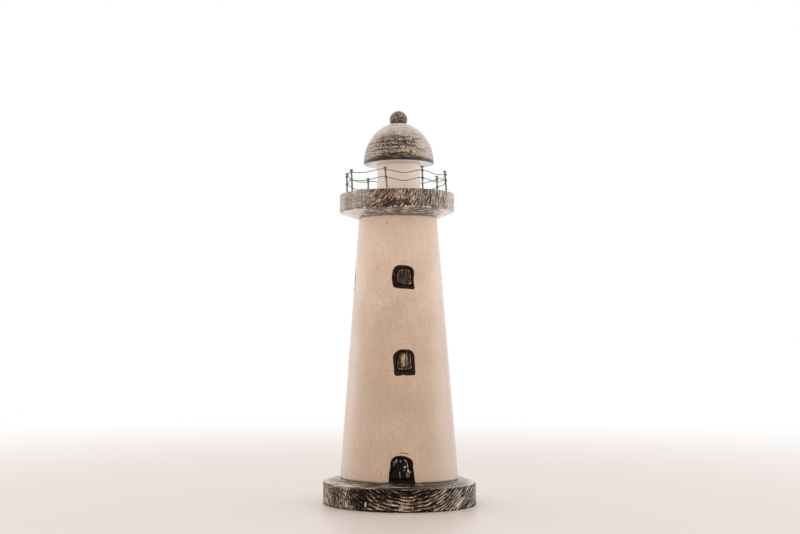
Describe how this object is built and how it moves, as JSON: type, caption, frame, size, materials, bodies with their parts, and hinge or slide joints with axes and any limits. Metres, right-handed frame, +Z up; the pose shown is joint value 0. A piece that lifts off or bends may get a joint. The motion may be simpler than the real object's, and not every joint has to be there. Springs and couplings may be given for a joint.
{
  "type": "wooden model lighthouse",
  "caption": "Turned wooden model lighthouse: tapered cream tower with arched door and windows, dark base, gallery railed with nails and wound wire, lantern drum, domed cap and ball finial.",
  "frame": {"origin": "centre of the base's flat underside", "axes": "+Z up along the tower, -Y the side with the door, +X to the right of someone facing the door"},
  "size_m": [0.1152, 0.1152, 0.2993],
  "materials": {
    "stained_wood": "dark stain, rubbed, satin",
    "cap_wood": "grey-brown stain, rubbed, satin",
    "cream_paint": "painted, satin",
    "black_paint": "painted, rubbed",
    "dark_metal": "dark patina"
  },
  "bodies": {
    "root": {"base_disc": "stained_wood", "tower_body": "cream_paint", "door_panel": "black_paint", "front_upper_window": "black_paint", "front_lower_window": "black_paint", "left_upper_window": "black_paint", "left_lower_window": "black_paint", "right_upper_window": "black_paint", "right_lower_window": "black_paint", "back_upper_window": "black_paint", "back_lower_window": "black_paint", "gallery_disc": "stained_wood", "rail_nail_1": "dark_metal", "rail_nail_2": "dark_metal", "rail_nail_3": "dark_metal", "rail_nail_4": "dark_metal", "rail_nail_5": "dark_metal", "rail_nail_6": "dark_metal", "rail_nail_7": "dark_metal", "rail_nail_8": "dark_metal", "upper_rail_wire": "dark_metal", "lower_rail_wire": "dark_metal", "lantern_drum": "cream_paint", "dome_cap": "cap_wood", "finial_ball": "stained_wood"}
  },
  "joints": []
}
